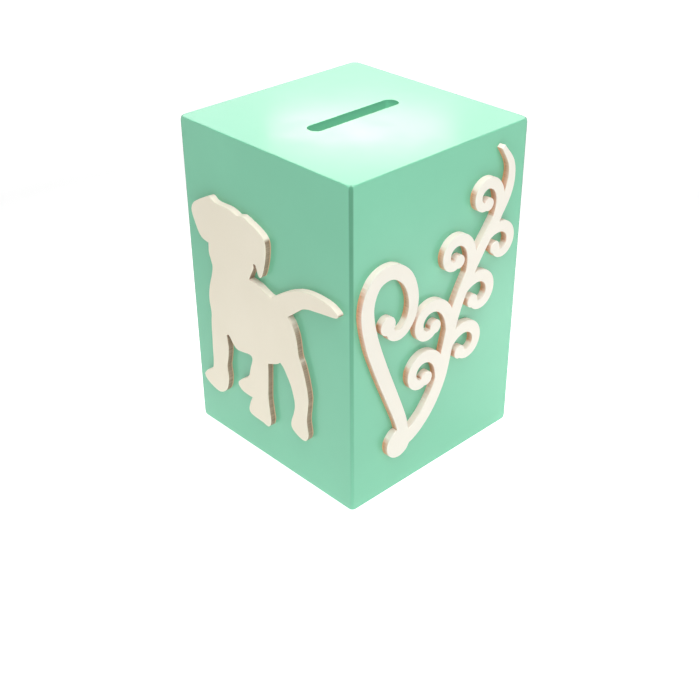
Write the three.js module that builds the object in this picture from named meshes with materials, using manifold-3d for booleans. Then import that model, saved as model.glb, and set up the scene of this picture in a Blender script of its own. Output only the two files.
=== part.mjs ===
// A wooden money box: a tall painted box of butt-jointed boards with a coin slot in its top,
// a rubber stopper in its base and two laser-cut decorations glued on two of its sides.
// Millimetres, +Z up. The origin is the centre of the footprint, on the surface it stands on.

import * as THREE from 'three';
import { mergeVertices } from 'three/addons/utils/BufferGeometryUtils.js';
import Module from 'manifold-3d';

const wasm = await Module();
wasm.setup();

// The box: width is along X, depth along Y.
const WIDTH = 100;
const DEPTH = 101.5;
const HEIGHT = 148.5;
const WALL = 9;

// Its edges are eased a little, and its eight corners are sanded rounder than the edges.
const UPRIGHT_RADIUS = 1.4;
const TOP_EDGE_RADIUS = 0.4;
const TOP_CORNER_RADIUS = 2.3;
const FOOT_EDGE_RADIUS = 1.4;
const FOOT_CORNER_RADIUS = 2.6;
const ARC_STEPS = 4;

// The coin slot, along X and cut a little off the middle of the top, with half-round ends.
const SLOT_LENGTH = 49;
const SLOT_WIDTH = 7.4;
const SLOT_CENTRE = [1.2, 0.8];

// The base is a thinner board set up inside the walls, with a round hole for the stopper.
const BASE_THICKNESS = 6;
const BASE_RECESS = 4;
const HOLE_RADIUS = 17.5;
const ROUND_SIDES = 40;

// The stopper: a flanged rubber cup, open upwards, with a grip bar across its dished underside.
const FLANGE_RADIUS = 21;
const FLANGE_BOTTOM = 1;
const SEAT_GAP = 0.05;
const PLUG_RADIUS = 17;
const RIB_RADIUS = 17.35;
const RIB_HEIGHT = 2.4;
const PLUG_TOP = 14;
const CUP_RADIUS = 15;
const CUP_FLOOR = 6.2;
const DISH_RADIUS = 13;
const DISH_ROOF = 4.2;
const GRIP_WIDTH = 4;
const RUBBER_ROUNDING = 0.6;

// The two decorations are cut from the same thin sheet.
const SHEET = 3;

// Panel pins: thin nails with small heads, sunk under filler and paint.
const PIN_LENGTH = 25;
const PIN_RADIUS = 0.7;
const PIN_POINT = 1.5;
const PIN_HEAD_RADIUS = 1.1;
const PIN_HEAD_HEIGHT = 0.8;
const PIN_DEPTH = 1.6;
const PIN_SIDES = 8;
const PIN_CLEARANCE = 0.2;
const CORNER_PIN_HEIGHTS = { low: 28, middle: 70, high: 112 };
const TOP_PIN_SPREAD_X = 28;
const TOP_PIN_SPREAD_Y = 24;
const BASE_PIN_SPREAD = 24;

const HALF_WIDTH = WIDTH / 2;
const HALF_DEPTH = DEPTH / 2;
const INNER_X = HALF_WIDTH - WALL;
const INNER_Y = HALF_DEPTH - WALL;
const WALL_TOP = HEIGHT - WALL;
const BASE_TOP = BASE_RECESS + BASE_THICKNESS;
const QUARTER = Math.PI / 2;

const paint = new THREE.MeshStandardMaterial({ color: 0x8fd6b3, roughness: 0.45, metalness: 0 });
const bareWood = new THREE.MeshStandardMaterial({ color: 0xd9b98a, roughness: 0.8, metalness: 0 });
const cream = new THREE.MeshStandardMaterial({ color: 0xe8e0cd, roughness: 0.6, metalness: 0 });
const ivory = new THREE.MeshStandardMaterial({ color: 0xf7f3e6, roughness: 0.55, metalness: 0 });
const rubber = new THREE.MeshStandardMaterial({ color: 0x1c1c1e, roughness: 0.7, metalness: 0 });
const steel = new THREE.MeshStandardMaterial({ color: 0xb8bcc0, roughness: 0.35, metalness: 1 });

// ---- solids ------------------------------------------------------------------------------

function toSolid(geometry) {
  const bare = geometry.clone();
  bare.deleteAttribute('normal');
  bare.deleteAttribute('uv');
  const merged = mergeVertices(bare, 1e-4);
  return new wasm.Manifold(new wasm.Mesh({
    numProp: 3,
    vertProperties: new Float32Array(merged.attributes.position.array),
    triVerts: new Uint32Array(merged.index.array),
  }));
}

function toGeometry(solid) {
  const { vertProperties, triVerts } = solid.getMesh();
  const geometry = new THREE.BufferGeometry();
  geometry.setAttribute('position', new THREE.BufferAttribute(vertProperties, 3));
  geometry.setIndex(new THREE.BufferAttribute(triVerts, 1));
  geometry.computeVertexNormals();
  return geometry;
}

function union(solids) {
  return solids.reduce((sum, solid) => sum.add(solid));
}

function named(name, geometry, material) {
  const mesh = new THREE.Mesh(geometry, material);
  mesh.name = name;
  return mesh;
}

function block(low, high) {
  const size = high.map((value, axis) => value - low[axis]);
  const middle = high.map((value, axis) => (value + low[axis]) / 2);
  return new THREE.BoxGeometry(...size).translate(...middle);
}

// A turned shape round Z from a profile of [radius, height] that starts and ends on the axis.
function turned(profile, sides) {
  const points = profile.map(([radius, height]) => new THREE.Vector2(radius, height));
  return new THREE.LatheGeometry(points, sides).rotateX(QUARTER);
}

// ---- the rounded outer form that the painted boards share ----------------------------------

// How far a rounding has drawn in at that distance from the end that it rounds off.
function drawnIn(radius, distance) {
  const below = Math.max(0, radius - distance);
  return radius - Math.sqrt(radius ** 2 - below ** 2);
}

// The loops round the box near its foot or its top edge, by their distance from that end.
function endLoops(edgeRadius, cornerRadius, heightAt) {
  const distances = new Set([0]);
  for (let step = 1; step <= ARC_STEPS; step += 1) {
    const share = 1 - Math.cos(step / ARC_STEPS * QUARTER);
    distances.add(edgeRadius * share);
    distances.add(cornerRadius * share);
  }
  const ordered = [...distances].sort((a, b) => heightAt(a) - heightAt(b));
  return ordered.map((distance) => loopAt(
    heightAt(distance),
    drawnIn(edgeRadius, distance),
    UPRIGHT_RADIUS + drawnIn(cornerRadius, distance),
  ));
}

// One closed loop round the box, anticlockwise from above, with its four corners rounded.
function loopAt(height, inset, cornerRadius) {
  const radius = cornerRadius - inset;
  const points = [];
  for (const [corner, signX, signY] of [[0, 1, 1], [1, -1, 1], [2, -1, -1], [3, 1, -1]]) {
    for (let step = 0; step <= ARC_STEPS; step += 1) {
      const angle = (corner + step / ARC_STEPS) * QUARTER;
      points.push([
        signX * (HALF_WIDTH - cornerRadius) + radius * Math.cos(angle),
        signY * (HALF_DEPTH - cornerRadius) + radius * Math.sin(angle),
        height,
      ]);
    }
  }
  return points;
}

function outerForm() {
  const loops = [
    ...endLoops(FOOT_EDGE_RADIUS, FOOT_CORNER_RADIUS, (distance) => distance),
    ...endLoops(TOP_EDGE_RADIUS, TOP_CORNER_RADIUS, (distance) => HEIGHT - distance),
  ];
  const count = loops[0].length;
  const lastLoop = (loops.length - 1) * count;
  const floorCentre = loops.length * count;
  const topCentre = floorCentre + 1;
  const faces = [];
  for (let i = 0; i < count; i += 1) {
    const next = (i + 1) % count;
    for (let lower = 0; lower < lastLoop; lower += count) {
      const upper = lower + count;
      faces.push(lower + i, lower + next, upper + next);
      faces.push(lower + i, upper + next, upper + i);
    }
    faces.push(floorCentre, next, i);
    faces.push(topCentre, lastLoop + i, lastLoop + next);
  }
  const vertices = [...loops.flat(), [0, 0, 0], [0, 0, HEIGHT]].flat();
  const geometry = new THREE.BufferGeometry();
  geometry.setAttribute('position', new THREE.Float32BufferAttribute(vertices, 3));
  geometry.setIndex(faces);
  return toSolid(geometry);
}

// ---- panel pins ----------------------------------------------------------------------------

// A nail pointing along +Z with its head at 0; grown all round, it is the hole that holds it.
function pinGeometry(grown = 0) {
  return turned([
    [0, -grown],
    [PIN_HEAD_RADIUS + grown, -grown],
    [PIN_HEAD_RADIUS + grown, PIN_HEAD_HEIGHT + grown],
    [PIN_RADIUS + grown, PIN_HEAD_HEIGHT + grown],
    [PIN_RADIUS + grown, PIN_LENGTH - PIN_POINT + grown],
    [0, PIN_LENGTH + grown],
  ], PIN_SIDES);
}

// Every pin's name, head position and the way it points.
function pinPlaces() {
  const places = [];
  const sides = [['left', -1], ['right', 1]];
  const faces = [['front', -1], ['back', 1]];
  for (const [face, faceSign] of faces) {
    for (const [side, sideSign] of sides) {
      for (const [level, height] of Object.entries(CORNER_PIN_HEIGHTS)) {
        places.push({
          name: `pin_${face}_${side}_${level}`,
          head: [sideSign * (HALF_WIDTH - WALL / 2), faceSign * (HALF_DEPTH - PIN_DEPTH), height],
          way: [0, -faceSign, 0],
        });
      }
      places.push({
        name: `pin_top_${face}_${side}`,
        head: [sideSign * TOP_PIN_SPREAD_X, faceSign * (HALF_DEPTH - WALL / 2), HEIGHT - PIN_DEPTH],
        way: [0, 0, -1],
      });
      places.push({
        name: `pin_top_${side}_${face}`,
        head: [sideSign * (HALF_WIDTH - WALL / 2), faceSign * TOP_PIN_SPREAD_Y, HEIGHT - PIN_DEPTH],
        way: [0, 0, -1],
      });
      places.push({
        name: `pin_base_${side}_${face}`,
        head: [
          sideSign * (HALF_WIDTH - PIN_DEPTH),
          faceSign * BASE_PIN_SPREAD,
          BASE_RECESS + BASE_THICKNESS / 2,
        ],
        way: [-sideSign, 0, 0],
      });
    }
  }
  return places;
}

// Puts a mesh that points along +Z at a pin's place.
function placePin(mesh, { head, way }) {
  mesh.position.set(...head);
  mesh.quaternion.setFromUnitVectors(new THREE.Vector3(0, 0, 1), new THREE.Vector3(...way));
  mesh.updateMatrix();
  return mesh;
}

function pinHoles(places) {
  const holes = places.map((place) => {
    const hole = placePin(new THREE.Mesh(pinGeometry(PIN_CLEARANCE)), place);
    return toSolid(hole.geometry.applyMatrix4(hole.matrix));
  });
  return union(holes);
}

// ---- boards ----------------------------------------------------------------------------------

function slotCutter() {
  const reach = (SLOT_LENGTH - SLOT_WIDTH) / 2;
  const shape = new THREE.Shape();
  shape.absarc(reach, 0, SLOT_WIDTH / 2, -QUARTER, QUARTER);
  shape.absarc(-reach, 0, SLOT_WIDTH / 2, QUARTER, 3 * QUARTER);
  const cutter = new THREE.ExtrudeGeometry(shape, {
    depth: 3 * WALL,
    bevelEnabled: false,
    curveSegments: 10,
  });
  return toSolid(cutter.translate(...SLOT_CENTRE, WALL_TOP - WALL));
}

function stopperHoleCutter() {
  const cutter = new THREE.CylinderGeometry(HOLE_RADIUS, HOLE_RADIUS, 3 * BASE_TOP, ROUND_SIDES);
  return toSolid(cutter.rotateX(QUARTER));
}

function boards(form, holes) {
  const cut = (low, high) => form.intersect(toSolid(block(low, high))).subtract(holes);
  const painted = {
    front_panel: cut([-HALF_WIDTH, -HALF_DEPTH, 0], [HALF_WIDTH, -INNER_Y, WALL_TOP]),
    back_panel: cut([-HALF_WIDTH, INNER_Y, 0], [HALF_WIDTH, HALF_DEPTH, WALL_TOP]),
    left_panel: cut([-HALF_WIDTH, -INNER_Y, 0], [-INNER_X, INNER_Y, WALL_TOP]),
    right_panel: cut([INNER_X, -INNER_Y, 0], [HALF_WIDTH, INNER_Y, WALL_TOP]),
    top_panel: cut([-HALF_WIDTH, -HALF_DEPTH, WALL_TOP], [HALF_WIDTH, HALF_DEPTH, HEIGHT])
      .subtract(slotCutter()),
  };
  const base = cut([-INNER_X, -INNER_Y, BASE_RECESS], [INNER_X, INNER_Y, BASE_TOP])
    .subtract(stopperHoleCutter());
  return [
    ...Object.entries(painted).map(([name, solid]) => named(name, toGeometry(solid), paint)),
    named('base_panel', toGeometry(base), bareWood),
  ];
}

// ---- stopper ---------------------------------------------------------------------------------

function stopper() {
  const seat = BASE_RECESS - SEAT_GAP;
  const cup = turned([
    [0, DISH_ROOF],
    [DISH_RADIUS, DISH_ROOF],
    [DISH_RADIUS + RUBBER_ROUNDING, FLANGE_BOTTOM],
    [FLANGE_RADIUS - RUBBER_ROUNDING, FLANGE_BOTTOM],
    [FLANGE_RADIUS, FLANGE_BOTTOM + RUBBER_ROUNDING],
    [FLANGE_RADIUS, seat - RUBBER_ROUNDING],
    [FLANGE_RADIUS - RUBBER_ROUNDING, seat],
    [PLUG_RADIUS, seat],
    [PLUG_RADIUS, BASE_TOP],
    [RIB_RADIUS, BASE_TOP + RUBBER_ROUNDING],
    [RIB_RADIUS, BASE_TOP + RIB_HEIGHT],
    [CUP_RADIUS + RUBBER_ROUNDING, PLUG_TOP],
    [CUP_RADIUS, PLUG_TOP],
    [CUP_RADIUS, CUP_FLOOR],
    [0, CUP_FLOOR],
  ], ROUND_SIDES);
  const grip = block(
    [-DISH_RADIUS, -GRIP_WIDTH / 2, FLANGE_BOTTOM + RUBBER_ROUNDING],
    [DISH_RADIUS, GRIP_WIDTH / 2, (DISH_ROOF + CUP_FLOOR) / 2],
  );
  return named('base_stopper', toGeometry(toSolid(cup).add(toSolid(grip))), rubber);
}

// ---- puppy decoration ------------------------------------------------------------------------

// The puppy's outline in smooth runs, x towards its tail and y up from the floor.
// Each run ends at the sharp corner where the next one starts.
const PUPPY_RUNS = [
  // chin, muzzle, nose and brow
  [[-33.1, 97.8], [-37.1, 98.6], [-39.5, 100.9], [-41.6, 104.9], [-43.3, 109.6], [-41.9, 113.2],
    [-38.6, 115.7], [-33.8, 118.4], [-30.1, 119.8], [-26.5, 118.2], [-18.3, 118.4]],
  // back of the head and the hanging ear
  [[-12.6, 117], [-9, 117.8], [-4.8, 116.5], [0.6, 114.4], [4.2, 111.2], [4.3, 104.7], [2.6, 97.8],
    [0.9, 94.2], [-0.6, 94.2]],
  // the cleft under the ear
  [[-2.3, 98.7], [-3.9, 98.5], [-3.7, 96.7], [-5.3, 93.7]],
  // back
  [[-7, 90.4], [-1.4, 89.7], [3.1, 88]],
  // tail
  [[6.7, 87.1], [10.5, 90], [18.8, 94.9], [26.9, 97.8], [35, 98.4], [41.8, 97.6], [45.9, 95.5],
    [46, 94.1], [43.6, 93.1], [35, 91.8], [26.9, 90.1], [20.8, 85.6]],
  // rump and hind leg
  [[16.6, 82.3], [18.8, 80], [21.1, 75.3], [22.1, 70], [22.7, 66], [24.5, 62], [26.6, 54.9],
    [27.8, 47.8], [27.2, 41.8], [26.5, 35.8], [27.3, 29.2], [25.3, 25.4], [21.3, 25.6], [17.1, 27.9],
    [16.6, 31.2], [18.5, 36.8], [19.2, 41.8], [17.4, 48.8], [15.1, 53.1], [12.7, 56.6]],
  // groin
  [[10.7, 58], [8.4, 56.2]],
  // far hind leg
  [[2.8, 53.8], [2.3, 44.8], [1.8, 35.8], [2.5, 28.5], [2.9, 23.7], [1.1, 20.5], [-3, 21],
    [-9.1, 21.4], [-11.8, 23], [-10.7, 27.8]],
  // far front paw and belly
  [[-9.2, 30.9], [-15.4, 31.3], [-18.7, 34], [-15.8, 37.6], [-11, 41.3], [-9.3, 46.3],
    [-7.7, 51.4], [-9.3, 52.9], [-13.6, 52.2], [-18, 51.8], [-20.7, 53.7], [-23.2, 56.7]],
  // near front leg, chest and throat
  [[-24.9, 55.9], [-24.2, 49.8], [-25, 43.8], [-26, 39.1], [-25.5, 33.7], [-26.9, 27.4],
    [-30.5, 23.7], [-34.4, 22.8], [-40.2, 24.5], [-43.4, 27.7], [-39.9, 31.7], [-36.4, 34.9],
    [-35.7, 44.8], [-35.3, 57.9], [-34.7, 63.2], [-35.5, 70], [-34.5, 76.7], [-31.5, 86.6],
    [-33.2, 92.9]],
];
const PUPPY_STEPS = 2;

function puppyShape() {
  const shape = new THREE.Shape();
  shape.moveTo(...PUPPY_RUNS[0][0]);
  PUPPY_RUNS.forEach((run, index) => {
    const end = PUPPY_RUNS[(index + 1) % PUPPY_RUNS.length][0];
    const through = [...run.slice(1), end];
    shape.splineThru(through.map(([x, y]) => new THREE.Vector2(x, y)));
  });
  return shape;
}

function puppy() {
  const geometry = new THREE.ExtrudeGeometry(puppyShape(), {
    depth: SHEET,
    bevelEnabled: false,
    curveSegments: PUPPY_STEPS,
  });
  const mesh = named('puppy_cutout', toGeometry(toSolid(geometry.rotateX(QUARTER))), cream);
  mesh.rotation.z = -QUARTER;
  mesh.position.x = -HALF_WIDTH;
  return mesh;
}

// ---- scroll decoration -----------------------------------------------------------------------

// The stem rises from a round foot to a pointed tip, x to the right and y up from the floor.
const STEM_POINTS = [[-25, 24.5], [-16, 28], [-7.5, 35.5], [-1, 46.5], [2.5, 59.5], [6, 73.5], [12, 86.5],
  [20, 98.5], [29, 110], [36.5, 121.5], [37.5, 132.5], [31.5, 141.8]];
const STEM_STEPS = 44;
const STEM_WIDTHS = [7.5, 7.2, 6.8, 6.4, 6, 5.6, 5, 2];
const CROOK_POINTS = [[-22.5, 27.5], [-24.5, 36.5], [-30, 50.5], [-36.5, 66.5], [-42, 82.5], [-44, 96.5],
  [-39.5, 106.5], [-30.5, 108.5], [-22.5, 103], [-18.7, 93.5], [-19.8, 84.5], [-24.8, 79.3],
  [-30.3, 80.3], [-32.8, 85.3]];
const CROOK_STEPS = 56;
const CROOK_WIDTHS = [6, 6.4, 6.8, 7, 6.8, 6.6, 6, 5.2, 4.4];
const CROOK_BUD = 4.1;
const FOOT_BUD = 7;
const FOOT_BUD_CENTRE = [-25.5, 25.5];

// Curls leave the stem at a share of its length and bend ever tighter to a round bud.
// veer is the angle to the stem in degrees, bend the curvature at the two ends of the curl in
// radians per millimetre, and scale the curl's share of the full stroke and bud.
const CURLS = [
  { at: 0.2, side: 1, veer: 6, length: 49, bend: [0.03, 0.21], scale: 1.04 },
  { at: 0.32, side: -1, veer: 8, length: 42, bend: [0.055, 0.2], scale: 0.98 },
  { at: 0.37, side: 1, veer: 6, length: 51, bend: [0.015, 0.215], scale: 1 },
  { at: 0.5, side: -1, veer: 8, length: 41, bend: [0.055, 0.205], scale: 0.97 },
  { at: 0.55, side: 1, veer: 6, length: 47, bend: [0.015, 0.235], scale: 0.96 },
  { at: 0.68, side: -1, veer: 8, length: 36, bend: [0.055, 0.24], scale: 0.9 },
  { at: 0.73, side: 1, veer: 6, length: 43, bend: [0.015, 0.255], scale: 0.9 },
];
const CURL_WIDTHS = [4.5, 5.6, 5.4, 4.9, 4];
const CURL_BUD = 3.15;
const CURL_STEPS = 34;
const BUD_SIDES = 16;
const LOOP_SPACING = 0.3;

// A line whose curvature changes evenly along its length, as a spring's scroll does.
function curlLine(start, heading, { side, length, bend }) {
  const points = [start.clone()];
  const step = length / CURL_STEPS;
  let angle = heading;
  for (let i = 0; i < CURL_STEPS; i += 1) {
    const share = (i + 0.5) / CURL_STEPS;
    const turn = side * step * THREE.MathUtils.lerp(bend[0], bend[1], share);
    const middle = angle + turn / 2;
    const move = new THREE.Vector2(Math.cos(middle), Math.sin(middle)).multiplyScalar(step);
    points.push(points.at(-1).clone().add(move));
    angle += turn;
  }
  return points;
}

// The width at a share of a line's length, from evenly spread widths.
function widthAt(widths, share) {
  const place = share * (widths.length - 1);
  const index = Math.min(Math.floor(place), widths.length - 2);
  return THREE.MathUtils.lerp(widths[index], widths[index + 1], place - index);
}

// A flat ribbon of changing width along a line.
function ribbon(points, widths) {
  const left = [];
  const right = [];
  points.forEach((point, index) => {
    const before = points[Math.max(index - 1, 0)];
    const after = points[Math.min(index + 1, points.length - 1)];
    const along = after.clone().sub(before).normalize();
    const half = widthAt(widths, index / (points.length - 1)) / 2;
    const across = new THREE.Vector2(-along.y, along.x).multiplyScalar(half);
    left.push(point.clone().add(across));
    right.push(point.clone().sub(across));
  });
  return sheetSolid(new THREE.Shape([...right, ...left.reverse()]));
}

function disc(centre, radius) {
  const points = Array.from({ length: BUD_SIDES }, (_, i) => {
    const angle = i / BUD_SIDES * 4 * QUARTER;
    return new THREE.Vector2(Math.cos(angle), Math.sin(angle)).multiplyScalar(radius).add(centre);
  });
  return sheetSolid(new THREE.Shape(points));
}

function sheetSolid(shape) {
  return toSolid(new THREE.ExtrudeGeometry(shape, { depth: SHEET, bevelEnabled: false }));
}

function curl(stem, spec) {
  const start = stem.getPointAt(spec.at);
  const along = stem.getTangentAt(spec.at);
  const heading = Math.atan2(along.y, along.x) + spec.side * THREE.MathUtils.degToRad(spec.veer);
  const line = curlLine(start, heading, spec);
  const widths = CURL_WIDTHS.map((width) => width * spec.scale);
  return ribbon(line, widths).add(disc(line.at(-1), CURL_BUD * spec.scale));
}

// The closed loops round the upper face of a flat solid, with close neighbours merged.
function upperLoops(solid) {
  const { vertProperties, triVerts } = solid.getMesh();
  const point = (i) => new THREE.Vector3().fromArray(vertProperties, 3 * i);
  const onTop = (i) => point(i).z > SHEET / 2;
  const edges = new Map();
  for (let i = 0; i < triVerts.length; i += 3) {
    const corners = [triVerts[i], triVerts[i + 1], triVerts[i + 2]];
    if (corners.every(onTop)) {
      corners.forEach((from, k) => edges.set(`${from} ${corners[(k + 1) % 3]}`, from));
    }
  }
  const following = new Map();
  for (const edge of edges.keys()) {
    const [from, to] = edge.split(' ').map(Number);
    if (!edges.has(`${to} ${from}`)) {
      following.set(from, to);
    }
  }
  const loops = [];
  while (following.size > 0) {
    const loop = [];
    let at = following.keys().next().value;
    while (following.has(at)) {
      const next = following.get(at);
      following.delete(at);
      const { x, y } = point(at);
      const corner = new THREE.Vector2(x, y);
      if (loop.length === 0 || corner.distanceTo(loop.at(-1)) > LOOP_SPACING) {
        loop.push(corner);
      }
      at = next;
    }
    if (loop[0].distanceTo(loop.at(-1)) < LOOP_SPACING) {
      loop.pop();
    }
    loops.push(loop);
  }
  return loops;
}

function spline(points) {
  return new THREE.SplineCurve(points.map(([x, y]) => new THREE.Vector2(x, y)));
}

// The joined ribbons cut as one sheet: one outer loop and a hole for every gap it encloses.
function scroll() {
  const stem = spline(STEM_POINTS);
  const crook = spline(CROOK_POINTS).getSpacedPoints(CROOK_STEPS);
  const pieces = [
    ribbon(stem.getSpacedPoints(STEM_STEPS), STEM_WIDTHS),
    ribbon(crook, CROOK_WIDTHS),
    disc(crook.at(-1), CROOK_BUD),
    disc(new THREE.Vector2(...FOOT_BUD_CENTRE), FOOT_BUD),
    ...CURLS.map((spec) => curl(stem, spec)),
  ];
  const loops = upperLoops(union(pieces));
  const outer = loops.find((loop) => !THREE.ShapeUtils.isClockWise(loop));
  const shape = new THREE.Shape(outer);
  shape.holes = loops.filter((loop) => loop !== outer).map((loop) => new THREE.Path(loop));
  const mesh = named('scroll_cutout', toGeometry(sheetSolid(shape)).rotateX(QUARTER), ivory);
  mesh.position.y = -HALF_DEPTH;
  return mesh;
}

// ---- assembly ----------------------------------------------------------------------------------

const places = pinPlaces();
const box = new THREE.Group();
box.add(...boards(outerForm(), pinHoles(places)));
box.add(stopper(), puppy(), scroll());
for (const place of places) {
  box.add(placePin(named(place.name, pinGeometry(), steel), place));
}

// The decorations stand proud of two sides, so the box sits half a sheet off the centre.
box.position.set(SHEET / 2, SHEET / 2, 0);

const moneyBox = new THREE.Group();
moneyBox.add(box);

export default moneyBox;
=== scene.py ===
"""The looks of a painted wooden money box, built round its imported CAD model.

Metres, +Z up, in the CAD model's own frame: the front faces -Y and the puppy's side -X. The boards'
sizes and the decorations' outlines come from the CAD nodes. The coin slot, the base's hole, the
profiles of the stopper and pins, and the roundings and finishes are named here.
"""

import math
import random

import bmesh
import bpy
from mathutils import Matrix, Vector


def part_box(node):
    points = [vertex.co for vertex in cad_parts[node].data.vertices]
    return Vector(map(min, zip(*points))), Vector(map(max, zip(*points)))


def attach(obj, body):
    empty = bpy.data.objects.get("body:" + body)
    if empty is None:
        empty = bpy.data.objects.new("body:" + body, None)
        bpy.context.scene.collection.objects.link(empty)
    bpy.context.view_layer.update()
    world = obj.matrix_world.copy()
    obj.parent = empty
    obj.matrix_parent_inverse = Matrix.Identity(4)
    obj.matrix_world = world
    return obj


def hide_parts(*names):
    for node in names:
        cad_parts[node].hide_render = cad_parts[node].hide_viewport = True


SEED = 7
MM = 0.001
QUARTER = math.pi / 2

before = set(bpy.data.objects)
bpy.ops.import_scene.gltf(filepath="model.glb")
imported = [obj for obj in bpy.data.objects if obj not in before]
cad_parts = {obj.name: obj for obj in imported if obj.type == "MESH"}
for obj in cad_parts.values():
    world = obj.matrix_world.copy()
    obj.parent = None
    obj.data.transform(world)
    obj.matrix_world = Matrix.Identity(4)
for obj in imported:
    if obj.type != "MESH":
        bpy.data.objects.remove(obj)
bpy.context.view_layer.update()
random.seed(SEED)

# Roundings
UPRIGHT_RADIUS = 1.4 * MM
TOP_EDGE_RADIUS = 0.4 * MM
TOP_CORNER_RADIUS = 2.3 * MM
FOOT_EDGE_RADIUS = 1.4 * MM
FOOT_CORNER_RADIUS = 2.6 * MM
SLOT_EDGE_RADIUS = 0.15 * MM
HOLE_EDGE_RADIUS = 0.4 * MM
CUTOUT_EDGE_RADIUS = 0.25 * MM
GRIP_ROUNDING = 1.1 * MM

# How finely curves are divided
ARC_STEPS = 10
SLOT_ARC_STEPS = 24
HOLE_ARC_STEPS = 5
CUTOUT_ARC_STEPS = 4
PROFILE_ARC_STEPS = 5
GRIP_ARC_STEPS = 6
ROUND_SIDES = 128
PIN_SIDES = 24
CUTOUT_STEP = 0.4 * MM
SMOOTH_ANGLE = math.radians(32)

FRONT_LOW, FRONT_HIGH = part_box("front_panel")
BACK_LOW, BACK_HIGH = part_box("back_panel")
LEFT_LOW, LEFT_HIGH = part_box("left_panel")
RIGHT_LOW, RIGHT_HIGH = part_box("right_panel")
TOP_LOW, TOP_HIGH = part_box("top_panel")
BASE_LOW, BASE_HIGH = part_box("base_panel")
STOPPER_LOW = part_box("base_stopper")[0]
BODY_LOW = FRONT_LOW
BODY_HIGH = Vector((BACK_HIGH.x, BACK_HIGH.y, TOP_HIGH.z))
BODY_CENTRE = (BODY_LOW + BODY_HIGH) / 2


# ---- meshes ------------------------------------------------------------------------------------


def finished(name, bm, materials, body, slot, *nodes):
    """A mesh object from bm that rides on body and stands for the CAD nodes."""
    bmesh.ops.recalc_face_normals(bm, faces=bm.faces)
    mesh = bpy.data.meshes.new(name)
    bm.to_mesh(mesh)
    bm.free()
    for material in materials:
        mesh.materials.append(material)
    piece = bpy.data.objects.new(name, mesh)
    bpy.context.scene.collection.objects.link(piece)
    smooth(piece)
    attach(piece, body)
    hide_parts(*nodes)
    return piece


def smooth(piece):
    """Smooth shading with creases kept, and flat faces kept flat beside their roundings."""
    mesh = piece.data
    mesh.polygons.foreach_set("use_smooth", [True] * len(mesh.polygons))
    mesh.set_sharp_from_angle(angle=SMOOTH_ANGLE)
    weighted = piece.modifiers.new("even_shading", "WEIGHTED_NORMAL")
    weighted.keep_sharp = True


def loop_of(bm, points):
    return [bm.verts.new(point) for point in points]


def loft(bm, loops, material=0):
    """Quads between closed loops of the same number of vertices."""
    for low, high in zip(loops, loops[1:]):
        for i in range(len(low)):
            j = (i + 1) % len(low)
            face = bm.faces.new((low[i], low[j], high[j], high[i]))
            face.material_index = material


def fill(bm, loops, material=0):
    """Flat triangles inside the first loop and outside the others."""
    edges = []
    for loop in loops:
        for i, vertex in enumerate(loop):
            following = loop[(i + 1) % len(loop)]
            edge = bm.edges.get((vertex, following)) or bm.edges.new((vertex, following))
            edges.append(edge)
    made = bmesh.ops.triangle_fill(bm, use_beauty=True, use_dissolve=False, edges=edges)
    for item in made["geom"]:
        if isinstance(item, bmesh.types.BMFace):
            item.material_index = material


def arc(steps=ARC_STEPS):
    """(sine, one minus cosine) at even steps through a quarter turn."""
    angles = [QUARTER * i / steps for i in range(steps + 1)]
    return [(math.sin(angle), 1 - math.cos(angle)) for angle in angles]


def rim(radius, steps):
    """(distance out from the side, depth below the face) along a rounding from face to side."""
    return [(radius * (1 - run), radius * rise) for run, rise in arc(steps)]


# ---- the rounded outer form of the box ---------------------------------------------------------

CUT_TOLERANCE = 1e-7


def drawn_in(radius, distance):
    """How far a rounding has drawn in at that distance from the end that it rounds off."""
    below = max(0.0, radius - distance)
    return radius - math.sqrt(radius ** 2 - below ** 2)


def body_loop(height, inset=0.0, corner_radius=UPRIGHT_RADIUS):
    """Points round the box at that height, drawn in by inset from its full size."""
    radius = corner_radius - inset
    points = []
    for corner, (sign_x, sign_y) in enumerate([(1, 1), (-1, 1), (-1, -1), (1, -1)]):
        centre_x = BODY_CENTRE.x + sign_x * (BODY_HIGH.x - BODY_CENTRE.x - corner_radius)
        centre_y = BODY_CENTRE.y + sign_y * (BODY_HIGH.y - BODY_CENTRE.y - corner_radius)
        for step in range(ARC_STEPS + 1):
            angle = QUARTER * (corner + step / ARC_STEPS)
            points.append((
                centre_x + radius * math.cos(angle),
                centre_y + radius * math.sin(angle),
                height,
            ))
    return points


def end_loops(edge_radius, corner_radius, height_at):
    """The loops near the box's foot or its top, whose corners are rounder than its edges."""
    distances = {0.0}
    for rise, _ in arc():
        distances.add(edge_radius * (1 - rise))
        distances.add(corner_radius * (1 - rise))
    return [
        body_loop(height_at(distance), drawn_in(edge_radius, distance),
                  UPRIGHT_RADIUS + drawn_in(corner_radius, distance))
        for distance in sorted(distances, key=height_at)
    ]


def foot_loops():
    return end_loops(FOOT_EDGE_RADIUS, FOOT_CORNER_RADIUS, lambda d: BODY_LOW.z + d)


def top_loops():
    return end_loops(TOP_EDGE_RADIUS, TOP_CORNER_RADIUS, lambda d: BODY_HIGH.z - d)


def outer_form():
    bm = bmesh.new()
    loops = [loop_of(bm, points) for points in foot_loops() + top_loops()]
    loft(bm, loops)
    bm.faces.new(loops[0])
    bm.faces.new(loops[-1])
    return bm


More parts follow.
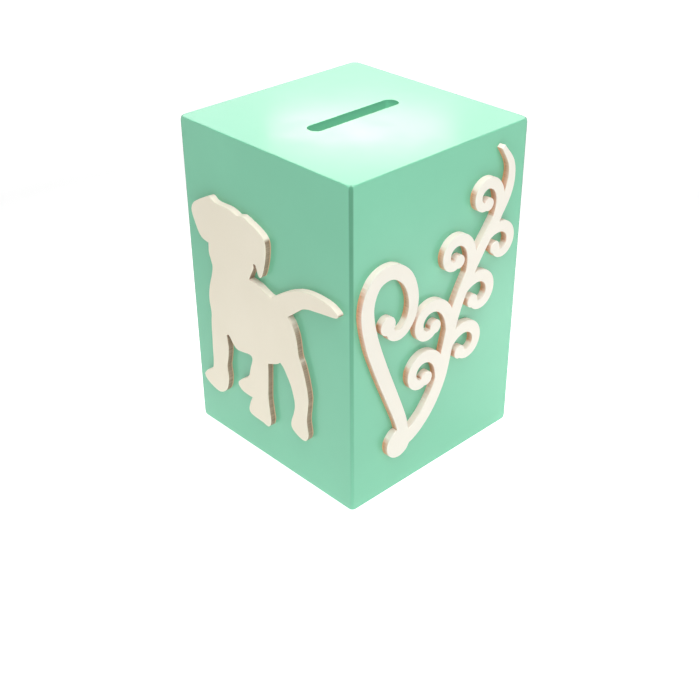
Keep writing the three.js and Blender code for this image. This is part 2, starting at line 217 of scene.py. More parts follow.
def keep_side(bm, point, outward, material):
    """Cuts bm with a plane, drops what lies on its outward side and closes the cut."""
    geometry = bm.verts[:] + bm.edges[:] + bm.faces[:]
    cut = bmesh.ops.bisect_plane(
        bm, geom=geometry, dist=CUT_TOLERANCE, plane_co=point, plane_no=outward, clear_outer=True
    )
    edges = [item for item in cut["geom_cut"] if isinstance(item, bmesh.types.BMEdge)]
    made = bmesh.ops.contextual_create(bm, geom=edges)
    for face in made["faces"]:
        face.material_index = material


def wall(node, low, high, materials):
    """One wall board: the part of the outer form inside its box, bare wood where it was cut."""
    wood = 1
    bm = outer_form()
    for axis in range(3):
        direction = Vector([1.0 if i == axis else 0.0 for i in range(3)])
        if low[axis] > BODY_LOW[axis] + MM:
            keep_side(bm, low, -direction, wood)
        if high[axis] < BODY_HIGH[axis] - MM:
            keep_side(bm, high, direction, wood)
    return finished(node.replace("panel", "board"), bm, materials, "box", "mint_paint", node)


# ---- top board with the coin slot --------------------------------------------------------------

SLOT_LENGTH = 49 * MM
SLOT_WIDTH = 7.4 * MM
SLOT_CENTRE = BODY_CENTRE + Vector((1.2 * MM, 0.8 * MM, 0))


def slot_loop(height, grow):
    """Points round the slot at that height, widened all round by grow."""
    radius = SLOT_WIDTH / 2 + grow
    reach = (SLOT_LENGTH - SLOT_WIDTH) / 2
    points = []
    for side, start in ((1, -QUARTER), (-1, QUARTER)):
        for step in range(SLOT_ARC_STEPS + 1):
            angle = start + 2 * QUARTER * step / SLOT_ARC_STEPS
            x = SLOT_CENTRE.x + side * reach + radius * math.cos(angle)
            points.append((x, SLOT_CENTRE.y + radius * math.sin(angle), height))
    return points


def top_board(materials):
    bm = bmesh.new()
    paint, wood, slot = 0, 1, 2
    edge = rim(SLOT_EDGE_RADIUS, ARC_STEPS)
    outer = [loop_of(bm, points) for points in [body_loop(TOP_LOW.z)] + top_loops()]
    upper = [loop_of(bm, slot_loop(TOP_HIGH.z - depth, grow)) for grow, depth in edge]
    lower = [loop_of(bm, slot_loop(TOP_LOW.z + depth, grow)) for grow, depth in edge[::-1]]
    loft(bm, outer, paint)
    loft(bm, upper + lower, slot)
    fill(bm, [outer[-1], upper[0]], paint)
    fill(bm, [outer[0], lower[-1]], wood)
    return finished("top_board", bm, materials, "box", "mint_paint", "top_panel")


# ---- base board with the stopper's hole --------------------------------------------------------

HOLE_RADIUS = 17.5 * MM


def circle(radius, height):
    angles = [4 * QUARTER * i / ROUND_SIDES for i in range(ROUND_SIDES)]
    return [
        (BODY_CENTRE.x + radius * math.cos(a), BODY_CENTRE.y + radius * math.sin(a), height)
        for a in angles
    ]


def rectangle(low, high, height, inset=0.0):
    return [
        (low.x + inset, low.y + inset, height),
        (high.x - inset, low.y + inset, height),
        (high.x - inset, high.y - inset, height),
        (low.x + inset, high.y - inset, height),
    ]


def base_board(wood):
    bm = bmesh.new()
    bottom, top = BASE_LOW.z, BASE_HIGH.z
    edge = rim(HOLE_EDGE_RADIUS, HOLE_ARC_STEPS)
    outer = [loop_of(bm, rectangle(BASE_LOW, BASE_HIGH, height)) for height in (bottom, top)]
    lower = [loop_of(bm, circle(HOLE_RADIUS + grow, bottom + depth)) for grow, depth in edge]
    upper = [loop_of(bm, circle(HOLE_RADIUS + grow, top - depth)) for grow, depth in edge[::-1]]
    loft(bm, outer)
    loft(bm, lower + upper)
    fill(bm, [outer[0], lower[0]])
    fill(bm, [outer[1], upper[-1]])
    return finished("base_board", bm, [wood], "box", "bare_wood", "base_panel")


# ---- turned pieces -----------------------------------------------------------------------------


def rounded(corners):
    """A profile of (radius, height) points from (radius, height, rounding) corners in
    millimetres."""
    corners = [[value * MM for value in corner] for corner in corners]
    points = [Vector(corner[:2]) for corner in corners]
    profile = [points[0]]
    for before, at, after, corner in zip(points, points[1:], points[2:], corners[1:]):
        back, ahead = (before - at).normalized(), (after - at).normalized()
        half = back.angle(ahead) / 2
        reach = min(corner[2] / math.tan(half), (before - at).length / 2, (after - at).length / 2)
        start, end = at + back * reach, at + ahead * reach
        for step in range(PROFILE_ARC_STEPS + 1):
            t = step / PROFILE_ARC_STEPS
            profile.append(start * (1 - t) ** 2 + at * 2 * t * (1 - t) + end * t ** 2)
    return profile + [points[-1]]


def lathe(bm, profile, sides, place):
    """A closed turned body round place's Z from a profile that starts and ends on the axis."""
    rings = []
    for radius, height in profile[1:-1]:
        angles = [4 * QUARTER * i / sides for i in range(sides)]
        points = [(radius * math.cos(a), radius * math.sin(a), height) for a in angles]
        rings.append(loop_of(bm, [place @ Vector(point) for point in points]))
    loft(bm, rings)
    for end, ring in ((profile[0], rings[0]), (profile[-1], rings[-1])):
        tip = bm.verts.new(place @ Vector((0, 0, end[1])))
        for i, vertex in enumerate(ring):
            bm.faces.new((tip, vertex, ring[(i + 1) % sides]))


# ---- stopper -----------------------------------------------------------------------------------

# (radius, height, rounding) in millimetres, from the middle of the underside, out round the flange
# and the rib, and down inside the cup
STOPPER_PROFILE = [
    (0, 3.2, 0), (12.2, 3.2, 1.4), (13.6, 0, 0.6), (16.2, 0, 0.25), (16.6, 0.5, 0.25),
    (17.5, 0.5, 0.25), (17.9, 0, 0.25), (21, 0, 1.1), (21, 2.95, 0.5), (17, 2.95, 0.4),
    (17, 9.2, 0.3), (17.35, 9.6, 0.3), (17.35, 11.4, 0.4), (15.9, 13, 0.6), (15, 13, 0.4),
    (15, 5.2, 1.2), (0, 5.2, 0),
]
GRIP_LENGTH = 25.4 * MM
GRIP_WIDTH = 4 * MM
GRIP_TOP = 4.4 * MM
GRIP_BOTTOM = 0.7 * MM


def stopper(material):
    """The rubber cup with its flange, holding rib and grip bar."""
    place = Matrix.Translation((BODY_CENTRE.x, BODY_CENTRE.y, STOPPER_LOW.z))
    cup = bmesh.new()
    lathe(cup, rounded(STOPPER_PROFILE), ROUND_SIDES, place)
    piece = finished("stopper", cup, [material], "stopper", "stopper_rubber", "base_stopper")
    grip = grip_bar(place)
    joined = piece.modifiers.new("grip", "BOOLEAN")
    joined.operation = "UNION"
    joined.solver = "EXACT"
    joined.object = grip
    piece.modifiers.move(len(piece.modifiers) - 1, 0)
    apply_first(piece)
    bpy.data.objects.remove(grip)
    return piece


def grip_bar(place):
    """The bar across the stopper's recess, which it is gripped by."""
    bm = bmesh.new()
    size = Vector((GRIP_LENGTH, GRIP_WIDTH, GRIP_TOP - GRIP_BOTTOM))
    centre = place @ Vector((0, 0, (GRIP_TOP + GRIP_BOTTOM) / 2))
    stretched = Matrix.Translation(centre) @ Matrix.Diagonal(size.to_4d())
    bmesh.ops.create_cube(bm, size=1, matrix=stretched)
    bmesh.ops.bevel(
        bm, geom=bm.edges[:], offset=GRIP_ROUNDING, segments=GRIP_ARC_STEPS, profile=0.5,
        affect="EDGES"
    )
    mesh = bpy.data.meshes.new("grip_bar")
    bm.to_mesh(mesh)
    bm.free()
    bar = bpy.data.objects.new("grip_bar", mesh)
    bpy.context.scene.collection.objects.link(bar)
    return bar


def apply_first(piece):
    """Makes the first modifier's result the mesh and keeps the others."""
    others = piece.modifiers[1:]
    for modifier in others:
        modifier.show_viewport = False
    graph = bpy.context.evaluated_depsgraph_get()
    mesh = bpy.data.meshes.new_from_object(piece.evaluated_get(graph), depsgraph=graph)
    for modifier in others:
        modifier.show_viewport = True
    piece.modifiers.remove(piece.modifiers[0])
    piece.data = mesh


# ---- panel pins --------------------------------------------------------------------------------

# (radius, height, rounding) in millimetres, from the middle of the head to the point
PIN_PROFILE = [
    (0, 0, 0), (1.1, 0, 0.2), (1.1, 0.55, 0.1), (0.7, 0.9, 0.2), (0.7, 23.6, 0.1), (0, 25, 0),
]


def pin(node, material):
    """One nail, its head at the end of its CAD node that is nearer the outside of the box."""
    low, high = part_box(node)
    axis = max(range(3), key=lambda i: high[i] - low[i])
    middle = (low + high) / 2
    outward = 1 if middle[axis] > BODY_CENTRE[axis] else -1
    head = middle.copy()
    head[axis] = high[axis] if outward > 0 else low[axis]
    direction = Vector([-outward if i == axis else 0 for i in range(3)])
    turn = Vector((0, 0, 1)).rotation_difference(direction).to_matrix().to_4x4()
    bm = bmesh.new()
    lathe(bm, rounded(PIN_PROFILE), PIN_SIDES, Matrix.Translation(head) @ turn)
    return finished("steel_" + node, bm, [material], "box", "pin_steel", node)


# ---- cut-out decorations -----------------------------------------------------------------------

CORNER_ANGLE = math.radians(42)
LEAST_LEAN = 0.6
LEVEL_TOLERANCE = 0.01 * MM
EDGE_ROUGHNESS = 0.06 * MM
EDGE_DEPTHS = (0.4, 0.7, 1.0)  # of the sheet's thickness


def outer_face_loops(node, axis):
    """The loops round a CAD decoration's outer face, the one at its low end along axis. They are
    the sides of its triangles that no second triangle shares."""
    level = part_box(node)[0][axis]
    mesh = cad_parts[node].data
    places = [tuple(round(value / MM, 3) for value in vertex.co) for vertex in mesh.vertices]
    sides = {}
    for polygon in mesh.polygons:
        heights = [mesh.vertices[i].co[axis] for i in polygon.vertices]
        if all(abs(height - level) < LEVEL_TOLERANCE for height in heights):
            corners = [places[i] for i in polygon.vertices]
            for i, corner in enumerate(corners):
                sides[corner, corners[(i + 1) % len(corners)]] = True
    following = {start: end for start, end in sides if (end, start) not in sides}
    loops = []
    while following:
        at = next(iter(following))
        loop = []
        while at in following:
            loop.append(Vector(at) * MM)
            at = following.pop(at)
        loops.append(loop)
    return loops


def smoothed(loop):
    """The loop as a smooth curve through its points, sharp only at its real corners."""
    count = len(loop)
    sharp = []
    for i in range(count):
        before, at, after = loop[i - 1], loop[i], loop[(i + 1) % count]
        sharp.append((at - before).angle(after - at) > CORNER_ANGLE)
    points = []
    for i in range(count):
        start, end = loop[i], loop[(i + 1) % count]
        before = 2 * start - end if sharp[i] else loop[i - 1]
        after = 2 * end - start if sharp[(i + 1) % count] else loop[(i + 2) % count]
        steps = max(1, round((end - start).length / CUTOUT_STEP))
        points += [between(before, start, end, after, step / steps) for step in range(steps)]
    return points


def between(before, start, end, after, t):
    """A point from start to end on a Catmull-Rom curve with evenly limited tangents."""
    span = (end - start).length
    leave = (end - before).normalized() * span
    arrive = (after - start).normalized() * span
    rest = 1 - t
    return (
        start * (1 + 2 * t) * rest * rest
        + leave * t * rest * rest
        + end * t * t * (3 - 2 * t)
        - arrive * t * t * rest
    )


def inward(loop, outward):
    """At each point of a loop, the direction into the material, a little longer at corners."""
    directions = []
    for i, point in enumerate(loop):
        ahead = (loop[(i + 1) % len(loop)] - point).normalized()
        behind = (point - loop[i - 1]).normalized()
        sideways = outward.cross(ahead + behind).normalized()
        lean = max(LEAST_LEAN, sideways.dot(outward.cross(ahead)))
        directions.append(sideways / lean)
    return directions


def cutout(name, node, axis, materials, slot):
    """A decoration cut from thin sheet: painted face, rounded rim and rough sawn edge. The CAD
    node's outline is kept; the roughness only goes in from it."""
    low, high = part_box(node)
    outward = Vector([-1.0 if i == axis else 0.0 for i in range(3)])
    thickness = high[axis] - low[axis]
    edge = rim(CUTOUT_EDGE_RADIUS, CUTOUT_ARC_STEPS)
    bm = bmesh.new()
    painted, sawn = 0, 1
    faces, backs = [], []
    for loop in map(smoothed, outer_face_loops(node, axis)):
        ways = inward(loop, outward)
        rough = streaks(len(loop))
        layers = []
        for inset, depth in edge:
            layers.append([p + way * inset - outward * depth for p, way in zip(loop, ways)])
        for share in EDGE_DEPTHS:
            down = outward * thickness * share
            layers.append([p + way * inset - down for p, way, inset in zip(loop, ways, rough)])
        rings = [loop_of(bm, points) for points in layers]
        loft(bm, rings[:len(edge)], painted)
        loft(bm, rings[len(edge) - 1:], sawn)
        faces.append(rings[0])
        backs.append(rings[-1])
    fill(bm, faces, painted)
    fill(bm, backs, sawn)
    return finished(name, bm, materials, "box", slot, node)


def streaks(count):
    """How far each point of a cut edge lies in from the outline: the marks the cutter left."""
    values = [random.random() for _ in range(count)]
    return [EDGE_ROUGHNESS * (values[i - 1] + 2 * values[i]) / 3 for i in range(count)]


# ---- materials ---------------------------------------------------------------------------------

# Nearly all the values of a noise texture lie between these.
NOISE_SPREAD = (0.3, 0.7)

MINT = (0.205, 0.585, 0.383)
MINT_SHADE = (0.197, 0.568, 0.37)
# Painted shade: the darker colour that stands for shade along the box's upright edges
UPRIGHT_PAINTED_SHADE = (0.1, 0.33, 0.2)
MINT_ROUGHNESS = 0.21
PAINT_SPECULAR = 0.35
# Distances beyond the box's sides between which the painted shade along the upright edges
# comes in, and how strong it is at the foot and at the top
UPRIGHT_PAINTED_SHADE_REACH = (-1.05 * UPRIGHT_RADIUS, -0.6 * UPRIGHT_RADIUS)
UPRIGHT_PAINTED_SHADE_STRENGTH = (0.1, 1.2)

# Painted light and shade in the coin slot: lighter than the outer paint, darker towards its rim
SLOT_PAINTED_LIGHT = (0.31, 0.86, 0.57)
SLOT_RIM_PAINTED_SHADE = (0.225, 0.69, 0.44)
SLOT_SHADE_REACH = 5.4 * MM
SLOT_ROUGHNESS = 0.3

CREAM = (0.87, 0.805, 0.66)
CREAM_SHADE = (0.85, 0.785, 0.635)
IVORY = (0.86, 0.82, 0.73)
IVORY_SHADE = (0.84, 0.8, 0.705)
BRUSH_STRETCH = (1, 1, 0.12)

# The "paint" colour is real paint where it spills over the outer part, and painted light where the
# edge faces up
PUPPY_EDGE = {
    "wood": (0.52, 0.36, 0.27),
    "dark": (0.24, 0.15, 0.1),
    "by_wall": (0.8, 0.5, 0.33),
    "paint": (1.0, 0.86, 0.76),
    "spill": 0.1,
}
SCROLL_EDGE = {
    "wood": (0.84, 0.45, 0.3),
    "dark": (0.6, 0.28, 0.16),
    "by_wall": (0.9, 0.4, 0.2),
    "paint": (0.95, 0.83, 0.75),
    "spill": 0.5,
}
SAW_STRETCH = 0.02

WOOD_RINGS = ((0.0, (0.64, 0.45, 0.25)), (0.55, (0.71, 0.53, 0.32)), (1.0, (0.52, 0.34, 0.17)))
WOOD_FIBRE = (0.42, 0.27, 0.13)
WOOD_PALE = (0.78, 0.62, 0.41)
GRAIN_STRETCH = 0.06
RING_SIZE = 16 * MM

RUBBER = (0.012, 0.012, 0.013)
RUBBER_BLOOM = (0.03, 0.03, 0.031)
STEEL = (0.55, 0.56, 0.58)
STEEL_BRIGHT = (0.68, 0.69, 0.7)


class Nodes:
    """A new node material and short ways to add to it."""

    def __init__(self, name, roughness, specular=0.5):
        self.material = bpy.data.materials.new(name)
        self.material.use_nodes = True
        self.tree = self.material.node_tree
        self.shader = self.tree.nodes["Principled BSDF"]
        self.shader.inputs["Roughness"].default_value = roughness
        self.shader.inputs["Specular IOR Level"].default_value = specular

    def add(self, kind, **settings):
        node = self.tree.nodes.new(kind)
        for name, value in settings.items():
            setattr(node, name, value)
        return node

    def link(self, output, target):
        self.tree.links.new(output, target)

    def place(self, scale=(1, 1, 1), origin=(0, 0, 0)):
        """The object's own coordinates from origin, in metres, times scale. A scale under 1 along
        an axis draws a pattern out along it."""
        coordinates = self.add("ShaderNodeTexCoord")
        mapping = self.add("ShaderNodeMapping")
        mapping.inputs["Scale"].default_value = scale
        mapping.inputs["Location"].default_value = [-value for value in origin]
        self.link(coordinates.outputs["Object"], mapping.inputs["Vector"])
        return mapping.outputs["Vector"]

    def part(self, vector, axis):
        """One of a vector's three numbers."""
        split = self.add("ShaderNodeSeparateXYZ")
        self.link(vector, split.inputs["Vector"])
        return split.outputs[axis]

    def noise(self, size, place, detail=2.0, roughness=0.5):
        """Noise whose features are about size across, from 0 to 1."""
        noise = self.add("ShaderNodeTexNoise")
        noise.inputs["Scale"].default_value = 1 / size
        noise.inputs["Detail"].default_value = detail
        noise.inputs["Roughness"].default_value = roughness
        self.link(place, noise.inputs["Vector"])
        return noise.outputs["Fac"]

    def ramp(self, value, *stops):
        """Colours at positions from 0 to 1; a stop is (position, (r, g, b))."""
        ramp = self.add("ShaderNodeValToRGB")
        elements = ramp.color_ramp.elements
        while len(elements) < len(stops):
            elements.new(1.0)
        for element, (position, colour) in zip(elements, stops):
            element.position = position
            element.color = (*colour, 1)
        self.link(value, ramp.inputs["Fac"])
        return ramp.outputs["Color"]

    def mix(self, share, first, second):
        """Two colours mixed; either may be an output or three numbers."""
        mix = self.add("ShaderNodeMix", data_type="RGBA")
        self.link(share, mix.inputs["Factor"])
        for target, colour in ((mix.inputs["A"], first), (mix.inputs["B"], second)):
            if isinstance(colour, bpy.types.NodeSocket):
                self.link(colour, target)
            else:
                target.default_value = (*colour, 1)
        return mix.outputs["Result"]

    def between(self, value, low, high, to_low=0.0, to_high=1.0):
        """value from low to high mapped on to_low to to_high, held at the ends."""
        spread = self.add("ShaderNodeMapRange")
        for name, number in zip(("From Min", "From Max", "To Min", "To Max"),
                                (low, high, to_low, to_high)):
            spread.inputs[name].default_value = number
        self.link(value, spread.inputs["Value"])
        return spread.outputs["Result"]

    def beside_box(self, start, end):
        """From 0 to 1 as the distance beyond the box's sides, negative inside it, goes from start
        to end. Two sides meet at an upright edge, and the one that gives less counts there."""
        size = self.add("ShaderNodeVectorMath", operation="ABSOLUTE")
        self.link(self.place(origin=BODY_CENTRE), size.inputs[0])
        half = BODY_HIGH - BODY_CENTRE
        across = [
            self.between(self.part(size.outputs["Vector"], axis),
                         half[axis] + start, half[axis] + end)
            for axis in (0, 1)
        ]
        return self.combined("MINIMUM", *across)

    def distance(self, point):
        """How far a place is from a point."""
        distance = self.add("ShaderNodeVectorMath", operation="DISTANCE")
        self.link(self.place(), distance.inputs[0])
        distance.inputs[1].default_value = point
        return distance.outputs["Value"]

    def combined(self, operation, first, second):
        """Two values put together by that operation."""
        combined = self.add("ShaderNodeMath", operation=operation)
        self.link(first, combined.inputs[0])
        self.link(second, combined.inputs[1])
        return combined.outputs["Value"]

    def bump(self, height, distance, strength, under=None):
        """Relief from 0 to distance high, drawn at that strength over the relief under it."""
        bump = self.add("ShaderNodeBump")
        bump.inputs["Strength"].default_value = strength
        bump.inputs["Distance"].default_value = distance
        self.link(height, bump.inputs["Height"])
        if under is not None:
            self.link(under, bump.inputs["Normal"])
        return bump.outputs["Normal"]

    def finish(self, colour=None, roughness=None, normal=None):
        for name, output in (("Base Color", colour), ("Roughness", roughness), ("Normal", normal)):
            if output is not None:
                self.link(output, self.shader.inputs[name])
        return self.material


def mint_paint():
    """Satin paint: faint clouds of colour, a painted shade along the box's upright edges, weak at
    the foot and strong at the top, with a trace of the roller and a fine orange peel."""
    nodes = Nodes("mint_paint", MINT_ROUGHNESS, PAINT_SPECULAR)
    place = nodes.place()
    clouds = nodes.between(nodes.noise(34 * MM, place, detail=3.0), *NOISE_SPREAD)
    mottle = nodes.between(nodes.noise(5 * MM, place), 0.35, 0.75, to_high=0.35)
    tint = nodes.mix(clouds, MINT, MINT_SHADE)
    tint = nodes.mix(mottle, tint, MINT_SHADE)
    # Painted shade along the upright edges, weak at the foot and strong at the top; the edges mask
    # carries it
    strength = nodes.between(nodes.part(place, 2), BODY_LOW.z, BODY_HIGH.z, *UPRIGHT_PAINTED_SHADE_STRENGTH)
    edges = nodes.combined("MULTIPLY", nodes.beside_box(*UPRIGHT_PAINTED_SHADE_REACH), strength)
    tint = nodes.mix(edges, tint, UPRIGHT_PAINTED_SHADE)
    gloss = nodes.between(nodes.noise(12 * MM, place), *NOISE_SPREAD,
                          MINT_ROUGHNESS - 0.03, MINT_ROUGHNESS + 0.04)
    peel = nodes.bump(nodes.noise(1.4 * MM, place, detail=1.0), 0.02 * MM, 0.35)
    roller = nodes.bump(nodes.noise(7 * MM, place), 0.05 * MM, 0.25, peel)
    return nodes.finish(tint, gloss, roller)


def slot_painted_light_and_shade():
    """Paint in the coin slot with painted light and shade: lighter than the outer paint, and a
    painted shade deepening towards the slot's upper rim.
    """
    nodes = Nodes("slot_painted_light_and_shade", SLOT_ROUGHNESS, PAINT_SPECULAR)
    height = nodes.part(nodes.place(), 2)
    rise = nodes.between(height, TOP_HIGH.z - SLOT_SHADE_REACH, TOP_HIGH.z)
    return nodes.finish(nodes.mix(rise, SLOT_PAINTED_LIGHT, SLOT_RIM_PAINTED_SHADE))


def bare_wood(name, grain_axis):
    """Sanded wood with its grain along one axis: growth rings, fine pores and faint fibres."""
    nodes = Nodes(name, roughness=0.7, specular=0.3)
    along = nodes.place([GRAIN_STRETCH if axis == grain_axis else 1 for axis in range(3)])
    rings = nodes.add("ShaderNodeTexWave", wave_type="BANDS", bands_direction="DIAGONAL")
    rings.inputs["Scale"].default_value = 1 / RING_SIZE
    rings.inputs["Distortion"].default_value = 7.0
    rings.inputs["Detail"].default_value = 2.0
    rings.inputs["Detail Scale"].default_value = 1.4
    nodes.link(along, rings.inputs["Vector"])
    tone = nodes.ramp(rings.outputs["Fac"], *WOOD_RINGS)
    fibres = nodes.noise(0.7 * MM, along, detail=4.0, roughness=0.7)
    tone = nodes.mix(nodes.between(fibres, 0.45, 0.75, to_high=0.5), tone, WOOD_FIBRE)
    patches = nodes.noise(30 * MM, nodes.place())
    tone = nodes.mix(nodes.between(patches, *NOISE_SPREAD, to_high=0.3), tone, WOOD_PALE)
    return nodes.finish(tone, normal=nodes.bump(fibres, 0.06 * MM, 0.5))


def cut_paint(name, colour, shade):
    """Matt paint on the face of a decoration, brushed thinly over smooth wood."""
    nodes = Nodes(name, roughness=0.55, specular=0.4)
    clouds = nodes.noise(22 * MM, nodes.place())
    tint = nodes.mix(nodes.between(clouds, *NOISE_SPREAD), colour, shade)
    brush = nodes.noise(1.1 * MM, nodes.place(BRUSH_STRETCH), detail=3.0)
    tint = nodes.mix(nodes.between(brush, 0.45, 0.8, to_high=0.25), tint, shade)
    return nodes.finish(tint, normal=nodes.bump(brush, 0.02 * MM, 0.4))


def sawn_edge(name, node, axis, wood, dark, by_wall, paint, spill):
    """The cut edge of a decoration whose thickness lies along axis: streaked wood, a warmer line by
    the wall, and the paint colour where it faces up, as painted light from above. Spill is how
    strongly paint has run over its outer part.
    """
    low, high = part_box(node)
    nodes = Nodes(name, roughness=0.75, specular=0.3)
    across = nodes.place([SAW_STRETCH if i == axis else 1 for i in range(3)])
    fine = nodes.noise(0.5 * MM, across, detail=3.0, roughness=0.8)
    broad = nodes.noise(3.5 * MM, across)
    tone = nodes.mix(nodes.between(broad, 0.3, 0.75, to_high=0.45), wood, dark)
    tone = nodes.mix(nodes.between(fine, 0.44, 0.66, to_high=0.85), tone, dark)
    depth = nodes.between(nodes.part(nodes.place(), axis), low[axis], high[axis])
    tone = nodes.mix(nodes.between(depth, 0.0, 0.7, spill, 0.0), tone, paint)
    tone = nodes.mix(nodes.between(depth, 0.8, 0.92), tone, by_wall)
    # Painted light: edges facing up take the paint colour, standing for the light that falls on
    # them from above
    facing = nodes.part(nodes.add("ShaderNodeNewGeometry").outputs["Normal"], 2)
    tone = nodes.mix(nodes.between(facing, 0.35, 0.62), tone, paint)
    return nodes.finish(tone, normal=nodes.bump(fine, 0.1 * MM, 0.6))


def black_rubber():
    """Moulded rubber with a faint grey bloom."""
    nodes = Nodes("stopper_rubber", roughness=0.6, specular=0.4)
    place = nodes.place()
    bloom = nodes.noise(9 * MM, place, detail=3.0)
    colour = nodes.mix(nodes.between(bloom, 0.4, 0.75), RUBBER, RUBBER_BLOOM)
    roughness = nodes.between(bloom, *NOISE_SPREAD, 0.5, 0.7)
    grain = nodes.noise(0.5 * MM, place)
    return nodes.finish(colour, roughness, nodes.bump(grain, 0.03 * MM, 0.4))


def pin_steel():
    """Bright drawn wire."""
    nodes = Nodes("pin_steel", roughness=0.3)
    nodes.shader.inputs["Metallic"].default_value = 1.0
    drawn = nodes.noise(0.3 * MM, nodes.place(), detail=3.0)
    colour = nodes.mix(nodes.between(drawn, *NOISE_SPREAD), STEEL, STEEL_BRIGHT)
    return nodes.finish(colour, nodes.between(drawn, *NOISE_SPREAD, 0.25, 0.42))


# ---- the box put together ----------------------------------------------------------------------


def build():
    paint = mint_paint()
    upright = bare_wood("upright_wood", 2)
    level = bare_wood("level_wood", 0)
    wall("front_panel", FRONT_LOW, FRONT_HIGH, [paint, upright])
    wall("back_panel", BACK_LOW, BACK_HIGH, [paint, upright])
    wall("left_panel", LEFT_LOW, LEFT_HIGH, [paint, upright])
    wall("right_panel", RIGHT_LOW, RIGHT_HIGH, [paint, upright])
    top_board([paint, level, slot_painted_light_and_shade()])
    base_board(level)
    stopper(black_rubber())
    cream = cut_paint("cream_paint", CREAM, CREAM_SHADE)
    puppy_edge = sawn_edge("puppy_edge", "puppy_cutout", 0, **PUPPY_EDGE)
    cutout("puppy", "puppy_cutout", 0, [cream, puppy_edge], "cream_paint")
    ivory = cut_paint("ivory_paint", IVORY, IVORY_SHADE)
    scroll_edge = sawn_edge("scroll_edge", "scroll_cutout", 1, **SCROLL_EDGE)
    cutout("scroll", "scroll_cutout", 1, [ivory, scroll_edge], "ivory_paint")
    steel = pin_steel()
    for node in sorted(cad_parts):
        if node.startswith("pin_"):
            pin(node, steel)


# ---- studio ------------------------------------------------------------------------------------

# The camera looks at a point near the box's height axis, from in front and to the left. The aim is
# measured from the middle of the box's foot.
CAMERA_AZIMUTH = -43.61
CAMERA_ELEVATION = 31.76
CAMERA_ROLL = -0.29
CAMERA_LENS = 59.59
CAMERA_DISTANCE = 528.0 * MM
CAMERA_AIM = Vector((-2.5 * MM, 0, 37.7 * MM))
CAMERA_CLIP = 10 * MM

# Each light is an ellipse facing the box, seen from a point on its axis at height above the
# floor; the sheen only shows as a reflection in the paint.
HALF_HEIGHT = 74 * MM
TOP_HEIGHT = 148.5 * MM
LIGHTS = {
    "overhead": {"azimuth": 0, "elevation": 88, "distance": 0.7, "height": HALF_HEIGHT,
                 "size": (0.5, 0.5), "power": 3.07},
    "front": {"azimuth": -8, "elevation": 45, "distance": 1.1, "height": HALF_HEIGHT,
              "size": (0.6, 0.6), "power": 2.33},
    "left": {"azimuth": -65, "elevation": 15, "distance": 1.1, "height": HALF_HEIGHT,
             "size": (0.8, 0.8), "power": 0.72},
    "camera_side": {"azimuth": -42, "elevation": 55, "distance": 1.0, "height": HALF_HEIGHT,
                    "size": (0.7, 0.7), "power": 3.6},
    "back": {"azimuth": 136, "elevation": 30, "distance": 1.2, "height": HALF_HEIGHT,
             "size": (1.1, 1.1), "power": 5.77},
    "under": {"azimuth": 150, "elevation": -55, "distance": 0.7, "height": 0,
              "size": (0.6, 0.6), "power": 4.0},
    "sheen": {"azimuth": 134.0, "elevation": 23.45, "distance": 0.135, "height": TOP_HEIGHT,
              "size": (0.1, 0.02), "power": 0.021, "colour": (1.0, 0.84, 0.7),
              "diffuse": False},
}
WORLD_STRENGTH = 0.15

FLOOR_SIZE = 8.0
FLOOR_GAP = 0.05 * MM
FLOOR_UNDER_BOX = 3 * MM
FLOOR_COLOUR = (0.64, 0.64, 0.64)
# The floor's glow is the sum of four: a pool round the box, a plain far field, a lamp in front of
# the right-hand side, and a lift close to the walls. Each REACH is a range of distances, from the
# middle of the frame, the lamp or the walls, and its STRENGTH is the glow at either end of it.
POOL_REACH = (0.08, 0.34)
POOL_STRENGTH = (0.87, 0.2)
FAR_REACH = (0.24, 0.6)
FAR_STRENGTH = (0, 0.58)
LAMP_PLACE = (0.15, -0.13, 0)
LAMP_REACH = (0.02, 0.14)
LAMP_STRENGTH = (1.12, 0)
WALL_REACH = (8 * MM, 0)
WALL_STRENGTH = (0, 0.2)


def direction(azimuth, elevation):
    """The way from the box to something at that azimuth, 0 being in front of it, and elevation."""
    a, e = math.radians(azimuth), math.radians(elevation)
    return Vector((math.sin(a) * math.cos(e), -math.cos(a) * math.cos(e), math.sin(e)))


def above_foot(height):
    """The point at that height on the box's own axis."""
    return Vector((BODY_CENTRE.x, BODY_CENTRE.y, height))


def camera():
    back = direction(CAMERA_AZIMUTH, CAMERA_ELEVATION)
    right = Vector((0, 0, 1)).cross(back).normalized()
    up = back.cross(right)
    roll = math.radians(CAMERA_ROLL)
    across = right * math.cos(roll) + up * math.sin(roll)
    turn = Matrix((across, back.cross(across), back)).transposed().to_4x4()
    data = bpy.data.cameras.new("camera")
    data.lens = CAMERA_LENS
    data.clip_start = CAMERA_CLIP
    made = bpy.data.objects.new("camera", data)
    place = above_foot(0) + CAMERA_AIM + back * CAMERA_DISTANCE
    made.matrix_world = Matrix.Translation(place) @ turn
    bpy.context.scene.collection.objects.link(made)
    bpy.context.scene.camera = made


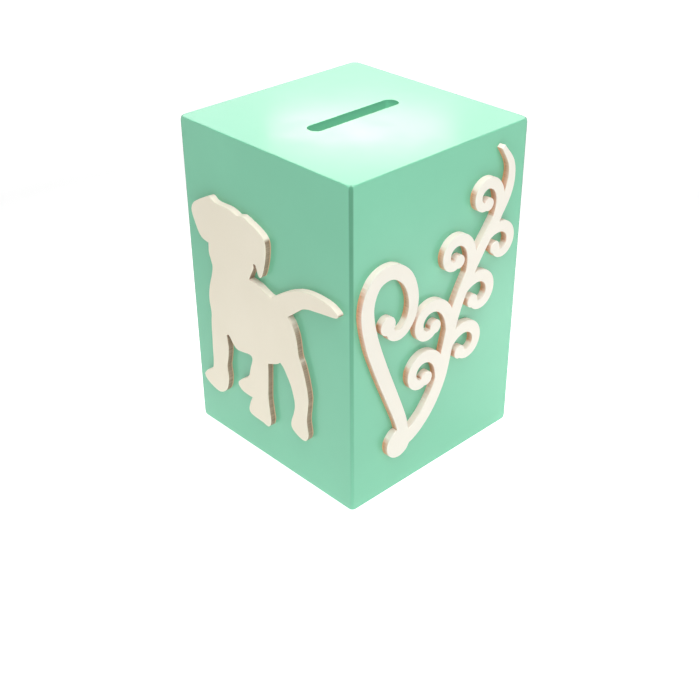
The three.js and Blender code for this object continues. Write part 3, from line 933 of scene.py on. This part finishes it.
def light(name, azimuth, elevation, distance, height, size, power, colour=(1, 1, 1),
          diffuse=True):
    data = bpy.data.lights.new(name, "AREA")
    data.shape = "ELLIPSE"
    data.size, data.size_y = size
    data.energy = power
    data.color = colour
    made = bpy.data.objects.new(name, data)
    away = direction(azimuth, elevation)
    made.location = above_foot(height) + away * distance
    made.rotation_mode = "QUATERNION"
    made.rotation_quaternion = away.to_track_quat("Z", "Y")
    made.visible_camera = False
    made.visible_diffuse = diffuse
    bpy.context.scene.collection.objects.link(made)


def pale_floor():
    """A white shooting table lit from below, brightest round the box and beside its right-hand
    front."""
    nodes = Nodes("pale_floor", roughness=0.9, specular=0.1)
    nodes.shader.inputs["Base Color"].default_value = (*FLOOR_COLOUR, 1)
    nodes.shader.inputs["Emission Color"].default_value = (1, 1, 1, 1)
    centre = nodes.distance((0, 0, 0))
    lamp = nodes.distance(LAMP_PLACE)
    glows = [
        nodes.between(centre, *POOL_REACH, *POOL_STRENGTH),
        nodes.between(centre, *FAR_REACH, *FAR_STRENGTH),
        nodes.between(lamp, *LAMP_REACH, *LAMP_STRENGTH),
        nodes.between(nodes.beside_box(*WALL_REACH), 0, 1, *WALL_STRENGTH),
    ]
    total = glows[0]
    for glow in glows[1:]:
        total = nodes.combined("ADD", total, glow)
    nodes.link(total, nodes.shader.inputs["Emission Strength"])
    return nodes.finish()


def floor():
    """A wide floor, open under the box so that its underside and stopper can be seen."""
    far_corner = Vector((FLOOR_SIZE / 2, FLOOR_SIZE / 2, 0))
    bm = bmesh.new()
    fill(bm, [
        loop_of(bm, rectangle(-far_corner, far_corner, -FLOOR_GAP)),
        loop_of(bm, rectangle(BODY_LOW, BODY_HIGH, -FLOOR_GAP, FLOOR_UNDER_BOX)),
    ])
    mesh = bpy.data.meshes.new("floor")
    bm.to_mesh(mesh)
    bm.free()
    mesh.materials.append(pale_floor())
    made = bpy.data.objects.new("floor", mesh)
    bpy.context.scene.collection.objects.link(made)


def studio():
    camera()
    for name, settings in LIGHTS.items():
        light(name, **settings)
    world = bpy.data.worlds.new("studio")
    world.use_nodes = True
    background = world.node_tree.nodes["Background"]
    background.inputs["Color"].default_value = (1, 1, 1, 1)
    background.inputs["Strength"].default_value = WORLD_STRENGTH
    bpy.context.scene.world = world
    floor()
    bpy.context.scene.view_settings.view_transform = "Standard"


studio()
build()
